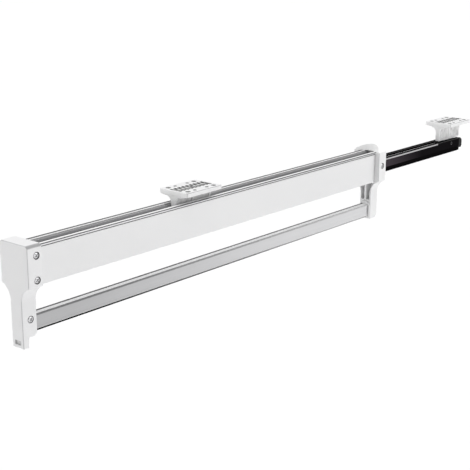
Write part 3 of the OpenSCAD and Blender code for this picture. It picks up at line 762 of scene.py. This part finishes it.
def cover(name, s, node):
    e = HALF - 0.03
    zb, zt = PROF_BOT + 0.02, SEAM - 0.65
    sec = [(WALL_OUT, zb, 0.1, 2), (e, zb, 0.42, 6), (e, zt, 0.28, 5), (WALL_OUT, zt, 0.1, 2)]
    for z in (PROF_TOP - 7, PROF_BOT + 6):
        sec += [(WALL_OUT, z + 0.5, 0), (WALL_OUT - 0.5, z + 0.5, 0), (WALL_OUT - 0.5, z - 0.5, 0), (WALL_OUT, z - 0.5, 0)]
    if s < 0:
        sec = mirror_x(sec)
    body = loft(name, "y", sec, [(FRONT_Y - 10, 0), (REAR_Y + 10, 0)])
    holes = []
    for z in (-17.6, -37.6):
        holes.append(lathe("c", "x", CAP_SCREW_Y, z, sorted([(s * 8.0, 1.6), (s * 12.0, 1.6)]), 24))
    holes.append(lathe("c", "x", REAR_Y + 6.9, -26.2, sorted([(s * 8.0, 1.6), (s * 12.0, 1.6)]), 24))
    body = cut(body, merge("cutters", holes))
    return dress(body, CARRIAGE, COVER, [node], 30)


cover("near_cover_strip", 1, "near_side_cover")
cover("far_cover_strip", -1, "far_side_cover")


# ---------------------------------------------------------------------------
# end caps
# ---------------------------------------------------------------------------

def cap_corners(bottom, r_low):
    return [(-LEG_HW, bottom, r_low, 5), (LEG_HW, bottom, r_low, 5),
            (LEG_HW, -47.38, 14.0, 22), (CAP_HW, -43.3, 1.8, 6),
            (CAP_HW, CAP_TOP, 3.0, 10), (-CAP_HW, CAP_TOP, 3.0, 10),
            (-CAP_HW, -43.3, 1.8, 6), (-LEG_HW, -47.38, 14.0, 22)]


def crowned_corners(bottom, r_low):
    """The rear cap's outline: its top is an arch."""
    top, rise = CAP_TOP + 4.0, 6.5
    r = (CAP_HW ** 2 + rise ** 2) / (2 * rise)
    a = math.degrees(math.asin((r - rise) / r))
    crown = arc(0, top - r, r, a, 180 - a, 26)
    return [(-LEG_HW, bottom, r_low, 5), (LEG_HW, bottom, r_low, 5),
            (LEG_HW, -47.38, 14.0, 22), (CAP_HW, -43.3, 1.8, 6),
            (CAP_HW, top - rise, 1.8, 6), *crown[1:-1], (-CAP_HW, top - rise, 1.8, 6),
            (-CAP_HW, -43.3, 1.8, 6), (-LEG_HW, -47.38, 14.0, 22)]


def leg_hollow(x0, x1, y0, y1):
    """One hollow of a leg, beside the middle rib; the mouth is at y1."""
    s = 1 if x1 > 0 else -1
    zc = CAP_LOW - math.sqrt(SHOULDER ** 2 - (LEG_HW + SHOULDER - CAP_HW) ** 2)
    r = SHOULDER + 1.5
    top = PROF_BOT - 1.6
    end = 180 - math.degrees(math.asin((top - zc) / r))
    inner = [(1.2, -64.7, 0.5, 3), (LEG_HW - 1.5, -64.7, 0.5, 3)]
    inner += arc(LEG_HW + SHOULDER, zc, r, 180, end, 14) + [(1.2, top, 0.5, 3)]
    if s < 0:
        inner = mirror_x(inner)
    return loft("c", "y", inner, flared(y0, y1, 0.25, 1.0, 3))


def screw_seat(s, x_face, y, z, r, depth, rim):
    x_in = x_face - depth
    prof = [(9.0 if x_face > 10 else 3.5, 1.6), (x_in, 1.6), (x_in, r)]
    for k in range(5):
        a = math.pi / 2 * k / 4
        prof.append((x_face - rim * (1 - math.sin(a)), r + rim * (1 - math.cos(a))))
    prof.append((x_face + 1.5, r + rim))
    prof = [(s * w, q) for w, q in prof]
    return lathe("c", "x", y, z, prof, 40)


def seat_gap(c, x_face, y, z):
    """The ring of a counterbore round a screw's head."""
    return x_face - 2.0 < abs(c.x) < x_face - 0.1 and 2.9 < math.hypot(c.y - y, c.z - z) < 3.25


def front_cap():
    yb, yf = FRONT_Y, FRONT_Y - FRONT_D
    body = loft("front_cap_moulding", "y", cap_corners(TAB_BOT, 0.8), soft_levels(yf, yb, 1.0, 0.5, 6))
    # the space behind the pull tab, under the leg
    behind = [(yf + 6.0, TAB_BOT - 6, 0), (yb + 6, TAB_BOT - 6, 0), (yb + 6, LEG_BOT + 3.6, 0),
              (yb, LEG_BOT + 3.6, 0)]
    for k in range(1, 9):
        a = math.radians(-90 * k / 8)
        behind.append((yb - 3.6 + 3.6 * math.cos(a), LEG_BOT + 3.6 + 3.6 * math.sin(a), 0))
    behind += [(yf + 6.0, LEG_BOT, 1.0, 4)]
    body = cut(body, loft("c", "x", behind, [(-9, -0.6), (-LEG_HW, -0.6), (-LEG_HW + 0.18, -0.18), (-LEG_HW + 0.6, 0),
                                             (LEG_HW - 0.6, 0), (LEG_HW - 0.18, -0.18), (LEG_HW, -0.6), (9, -0.6)]))
    cutters = [loft("c", "y", box_corners(-HALF - 0.1, PROF_BOT - 0.1, HALF + 0.1, PROF_TOP + 0.1, 0.4, 4), flared(yb - 10, yb, 0.12, 2.0, 2)),
               loft("c", "y", box_corners(-ROD_HW - 0.1, ROD_BOT - 0.1, ROD_HW + 0.1, ROD_TOP - 0.5, 1.3, 6), flared(yb - 9, yb, 0.15, 2.0, 3)),
               leg_hollow(1, 6, yb - 10, yb), leg_hollow(-6, -1, yb - 10, yb),
               # blank recess on the tab's front face
               loft("c", "y", box_corners(-3.5, TAB_BOT + 2.9, 3.5, TAB_BOT + 6.5, 0.6, 4), flared(yf + 1.2, yf, 0.3, 2.0, 3))]
    for s in (1, -1):
        for z in (-17.6, -37.6):
            cutters.append(screw_seat(s, CAP_HW, CAP_SCREW_Y, z, 3.1, 1.8, 0.2))
        cutters.append(screw_seat(s, LEG_HW, LEG_SCREW_Y, LEG_SCREW_Z, 3.0, 1.1, 0.2))
    body = cut(body, *cutters)
    dress(body, CARRIAGE, WHITE, ["front_cap"], 28)
    # painted shade: the rings round the screw heads are painted darker
    paint(body, CELL_SHADE, lambda c, n: seat_gap(c, CAP_HW, CAP_SCREW_Y, -17.6) or seat_gap(c, CAP_HW, CAP_SCREW_Y, -37.6)
          or seat_gap(c, LEG_HW, LEG_SCREW_Y, LEG_SCREW_Z))
    # painted shade: the tab's recess is painted darker
    return paint(body, WEB_SHADE, lambda c, n: c.z < TAB_BOT + 6.6 and c.z > TAB_BOT + 2.8 and abs(c.x) < 3.6
                 and yf + 0.25 < c.y < yf + 1.3)


front_cap()


def rear_cap():
    y0, y1 = REAR_Y, REAR_Y + REAR_D
    body = loft("rear_cap_moulding", "y", crowned_corners(LEG_BOT, 0.8), soft_levels(y0, y1, 1.2, 1.0, 8))
    # collar round the rod's seat, arched over it
    hw = LEG_HW - 0.5
    collar = [(-hw, LEG_BOT + 1.2, 0.6, 3), (hw, LEG_BOT + 1.2, 0.6, 3), (hw, ROD_TOP - 3.0, 0)]
    for k in range(1, 16):
        a = math.pi * k / 16
        collar.append((hw * math.cos(a), ROD_TOP - 3.0 + hw * math.sin(a), 0))
    collar.append((-hw, ROD_TOP - 3.0, 0))
    body = join(body, loft("collar", "y", collar, soft_levels(y0 - 1.5, y0 + 2, 0.5, 0, 4)))
    # the leg's lower end is rounded at the back
    low = [(y1 - 6, LEG_BOT - 4, 0), (y1 + 4, LEG_BOT - 4, 0), (y1 + 4, LEG_BOT + 6, 0), (y1 - 0.001, LEG_BOT + 6, 0)]
    for k in range(1, 12):
        a = math.radians(-90 * k / 12)
        low.append((y1 - 6 + 6 * math.cos(a), LEG_BOT + 6 + 6 * math.sin(a), 0))
    low.append((y1 - 6, LEG_BOT, 0))
    body = cut(body, loft("c", "x", low, [(-9, -0.6), (-LEG_HW, -0.6), (-LEG_HW + 0.18, -0.18), (-LEG_HW + 0.6, 0),
                                          (LEG_HW - 0.6, 0), (LEG_HW - 0.18, -0.18), (LEG_HW, -0.6), (9, -0.6)]))
    g = 0.4
    window = [(-RAIL_LW - g, RAIL_BOT - g, 0.4, 3), (RAIL_LW + g, RAIL_BOT - g, 0.4, 3), (RAIL_LW + g, RAIL_STEP - g, 0.2, 2),
              (RAIL_HW + g, RAIL_STEP - g, 0.3, 3), (RAIL_HW + g, RAIL_TOP + g, 1.3, 6), (-RAIL_HW - g, RAIL_TOP + g, 1.3, 6),
              (-RAIL_HW - g, RAIL_STEP - g, 0.3, 3), (-RAIL_LW - g, RAIL_STEP - g, 0.2, 2)]
    cutters = [loft("c", "y", box_corners(-HALF - 0.1, PROF_BOT - 0.1, HALF + 0.1, PROF_TOP + 0.1, 0.4, 4), flared(y0 + 10, y0, 0.12, 3.0, 2)),
               leg_hollow(1, 6, y0 + 9, y0), leg_hollow(-6, -1, y0 + 9, y0),
               loft("c", "y", box_corners(-ROD_HW - 0.1, ROD_BOT - 0.1, ROD_HW + 0.1, ROD_TOP - 0.5, 1.3, 6), flared(y0 + 9, y0 - 1.5, 0.2, 2.0, 3)),
               loft("c", "y", window, flared(y0 + 8, y1, 0.35, 2.0, 3))]
    # the top's front edge is scooped out over the slot
    deep = 7.5
    r = (13.0 ** 2 + deep ** 2) / (2 * deep)
    cutters.append(loft("c", "z", disc(0, y0 + deep - r, r, 96), [(PROF_TOP, 0), (PROF_TOP + 10, -6.0)]))
    for s in (1, -1):
        cutters.append(screw_seat(s, CAP_HW, y0 + 6.9, -26.2, 3.1, 1.8, 0.2))
    body = cut(body, *cutters)
    dress(body, CARRIAGE, WHITE_PLAIN, ["rear_cap"], 28)
    # painted light: the crown and the scoop above the lips are painted a brighter white
    paint(body, WHITE_PAINTED_LIT, lambda c, n: c.z > PROF_TOP + 0.05 and abs(n.x) < 0.97)
    # painted shade: the ring round each screw head is painted darker
    return paint(body, CELL_SHADE, lambda c, n: seat_gap(c, CAP_HW, y0 + 6.9, -26.2))


rear_cap()


# ---------------------------------------------------------------------------
# screws
# ---------------------------------------------------------------------------

def cross_screws(name, places, head_r, head_h, tip, node, twist=45.0):
    """Pan-head screws with a cross recess; places is [(side, x, y, z), ...]."""
    bodies, cutters = [], []
    for s, x, y, z in places:
        prof = [(tip, 1.0), (tip + 0.5, 1.45), (x - head_h, 1.45), (x - head_h, head_r - 0.12), (x - head_h + 0.12, head_r)]
        for k in range(1, 7):
            a = math.radians(15 * k)
            prof.append((x - head_h + 0.45 + (head_h - 0.45) * math.sin(a), (head_r - 0.9) + 0.9 * math.cos(a)))
        prof.append((x, head_r - 1.5))
        bodies.append(lathe("b", "x", y, z, [(s * w, q) for w, q in prof], 40))
        for a in (twist, twist + 90):
            ca, sa = math.cos(math.radians(a)), math.sin(math.radians(a))
            L, W = head_r * 0.62, 0.42
            c = [(y + u * ca - v * sa, z + u * sa + v * ca, 0.18, 3) for u, v in ((-L, -W), (L, -W), (L, W), (-L, W))]
            lv = [(x - 1.0, 0.12), (x - 0.15, 0.0), (x - 0.05, -0.06), (x + 0.6, -0.12)]
            cutters.append(loft("c", "x", c, [(s * w, d) for w, d in lv]))
    body = merge(name, bodies)
    half = len(cutters) // 2
    body = cut(body, merge("c0", cutters[0::2]), merge("c1", cutters[1::2]))
    return dress(body, CARRIAGE, SCREW, [node], 28)


SIDES = (1, -1)
cross_screws("front_cap_screw_set", [(s, CAP_HW - 0.3, CAP_SCREW_Y, z) for s in SIDES for z in (-17.6, -37.6)],
             2.7, 1.5, WALL_IN + 0.1, "front_cap_screws", 38)
cross_screws("front_leg_screw_set", [(s, LEG_HW + 0.1, LEG_SCREW_Y, LEG_SCREW_Z) for s in SIDES],
             2.6, 1.2, 2.0, "front_leg_screws", 52)
cross_screws("rear_cap_screw_set", [(s, CAP_HW - 0.3, REAR_Y + 6.9, -26.2) for s in SIDES],
             2.7, 1.5, WALL_IN + 0.1, "rear_cap_screws", 45)


# ---------------------------------------------------------------------------
# hanging rod
# ---------------------------------------------------------------------------

def rod():
    y0, y1 = FRONT_Y - 9, REAR_Y + 9
    zt, zb, hw = ROD_TOP - 0.6, ROD_BOT, ROD_HW
    lower = [(hw, zb, 0.8, 6),
             # fine groove over the lower edge
             (hw, zb + 1.35, 0.05, 2), (hw - 0.32, zb + 1.65, 0.05, 2), (hw, zb + 2.0, 0.05, 2),
             (hw, zt - 1.15, 0.05, 2), (hw - 0.12, zt - 1.05, 0), (hw - 0.12, zt, 0.7, 8)]
    seat = [(3.2, zt, 0.1, 3), (3.2, zt - 0.8, 0), (-1.7, zt - 0.8, 0), (-1.7, zt, 0.1, 3)]
    section = lower + seat + mirror_x(lower)
    body = loft("rod_tube", "y", section, [(y0, 0), (y1, 0)])
    inner = [(-hw + 1.2, zb + 1.2, 0.8, 4), (hw - 1.2, zb + 1.2, 0.8, 4), (hw - 1.2, zt - 1.8, 0.8, 4), (-hw + 1.2, zt - 1.8, 0.8, 4)]
    cutters = [loft("c", "y", inner, [(y0 - 2, 0), (y1 + 2, 0)])]
    body = cut(body, *cutters)
    holes = [lathe("c", "x", LEG_SCREW_Y, LEG_SCREW_Z, sorted([(s * 2.2, 1.5), (s * 6.0, 1.5)]), 24) for s in SIDES]
    body = cut(body, merge("holes", holes))
    dress(body, CARRIAGE, ROD, ["hanging_rod"], 24)
    # painted reflections: dark lines along the top edges and the bottom, and a painted highlight line above the lower
    # groove
    paint(body, DARK_NEAR_LINE, lambda c, n: c.x > 3.15 and c.z > zt - 1.16)
    paint(body, FAR_LINE, lambda c, n: c.x < -1.65 and c.z > zt - 1.16)
    paint(body, DARK_BOTTOM_LINE, lambda c, n: abs(c.x) > 3.5 and c.z < zb + 1.54)
    paint(body, PAINTED_HIGHLIGHT, lambda c, n: abs(c.x) > hw - 0.5 and zb + 1.54 < c.z < zb + 2.0)
    strip = [(-1.7, zt - 0.8, 0), (3.2, zt - 0.8, 0), (3.2, zt - 0.02, 0.15, 3), (-1.7, zt - 0.02, 0.15, 3)]
    o = loft("rod_strip_bar", "y", strip, [(y0, 0), (y1, 0)])
    dress(o, CARRIAGE, STRIP, ["rod_top_strip"], 30)


rod()

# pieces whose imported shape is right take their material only
for node, mat, slot in (("rail_front_stop", PLUG, "black_plastic"), ("ball_cage", BEARING, "bearing_steel"),
                        ("bearing_balls_near", BEARING, "bearing_steel"), ("bearing_balls_far", BEARING, "bearing_steel"),
                        ("rod_end_insert", WHITE, "white_moulding"), ("closing_buffer", RUBBER, "black_rubber")):
    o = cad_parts[node]
    for k in range(len(o.material_slots)):
        o.material_slots[k].link = "OBJECT"
        o.material_slots[k].material = mat


# ---------------------------------------------------------------------------
# floor, light and camera
# ---------------------------------------------------------------------------

def floor():
    bm = bmesh.new()
    z, s = -2.0, 60.0
    vs = [bm.verts.new(p) for p in ((-s, -s, z), (s, -s, z), (s, s, z), (-s, s, z))]
    bm.faces.new(vs)
    o = make_object("floor", bm)
    m = Mat("floor_paint", (0.93, 0.93, 0.93), 0.9, **{"Specular_IOR_Level": 0.1})
    cloud = m.noise((0.4, 0.4, 0.4), 1.0, 2.0)
    m.to("Base Color", m.mix(m.spread(cloud, 0, 1), (0.925, 0.925, 0.927), (0.935, 0.935, 0.934)))
    o.data.materials.append(m.m)
    o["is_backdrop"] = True
    return o


floor()

world = bpy.data.worlds.new("studio")
scene.world = world
world.use_nodes = True
wt = world.node_tree


def wnode(kind, **sockets):
    n = wt.nodes.new(kind)
    for k, v in sockets.items():
        if isinstance(v, bpy.types.NodeSocket):
            wt.links.new(v, n.inputs[int(k[1:])])
        else:
            n.inputs[int(k[1:])].default_value = v
    return n


def wmath(op, a, b=0.0):
    n = wnode("ShaderNodeMath", i0=a, i1=b)
    n.operation = op
    return n.outputs[0]


# soft boxes as smooth lobes of light: direction, narrowness, strength, and
# whether the lobe is kept high over the horizon or low along it
LOBES = (
    ((-0.10, 0.25, 1.00), 3, 2.25, "high"),
    ((-0.65, 0.76, 0.00), 4, 1.15, "low"),
    ((0.95, 0.25, 0.05), 6, 1.35, None),
    ((-0.68, -0.66, 0.30), 5, 1.15, None),
    ((-0.30, -0.90, 0.05), 8, 0.60, None),
)
sky = wt.nodes.new("ShaderNodeTexCoord").outputs["Generated"]
sky_z = wt.nodes.new("ShaderNodeSeparateXYZ")
wt.links.new(sky, sky_z.inputs[0])
fades = {}
for kind, lo, hi, at_lo, at_hi in (("high", 0.12, 0.34, 0.35, 1.0), ("low", 0.13, 0.29, 1.0, 0.0)):
    fade = wt.nodes.new("ShaderNodeMapRange")
    fade.interpolation_type = "SMOOTHSTEP"
    wt.links.new(sky_z.outputs["Z"], fade.inputs["Value"])
    for k, v in (("From Min", lo), ("From Max", hi), ("To Min", at_lo), ("To Max", at_hi)):
        fade.inputs[k].default_value = v
    fades[kind] = fade.outputs["Result"]
total = None
for direction, power, strength, kind in LOBES:
    dot = wt.nodes.new("ShaderNodeVectorMath")
    dot.operation = "DOT_PRODUCT"
    wt.links.new(sky, dot.inputs[0])
    dot.inputs[1].default_value = Vector(direction).normalized()
    v = wmath("MULTIPLY", wmath("POWER", wmath("MAXIMUM", dot.outputs["Value"], 0.0), float(power)), strength)
    if kind:
        v = wmath("MULTIPLY", v, fades[kind])
    total = v if total is None else wmath("ADD", total, v)
total = wmath("ADD", total, 0.02)
wt.links.new(total, wt.nodes["Background"].inputs["Strength"])
wt.nodes["Background"].inputs["Color"].default_value = (1, 1, 1, 1)


def softbox(name, place, aim, size, power):
    data = bpy.data.lights.new(name, "AREA")
    data.shape = "DISK"
    data.size = size
    data.energy = power
    o = bpy.data.objects.new(name, data)
    scene.collection.objects.link(o)
    o.location = place
    o.rotation_mode = "QUATERNION"
    o.rotation_quaternion = (Vector(aim) - Vector(place)).to_track_quat("-Z", "Y")
    o.visible_camera = False
    return o


softbox("side_light", (1.25, 0.95, 0.10), (0.0, 0.15, -0.05), 0.7, 4.0)

cam_data = bpy.data.cameras.new("camera")
cam = bpy.data.objects.new("camera", cam_data)
scene.collection.objects.link(cam)
cam_data.sensor_width = 36.0
cam_data.lens = 1124.1 / 470.0 * 36.0
cam_data.clip_start, cam_data.clip_end = 0.05, 200.0
az, el = math.radians(40.32), math.radians(15.63)
back = Vector((math.sin(az) * math.cos(el), -math.cos(az) * math.cos(el), math.sin(el)))
cam.rotation_mode = "QUATERNION"
cam.rotation_quaternion = (-back).to_track_quat("-Z", "Y")
cam.location = (0.6690, -0.7270, 0.2307)
scene.camera = cam

scene.view_settings.view_transform = "Standard"
scene.view_settings.look = "None"

lo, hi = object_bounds()
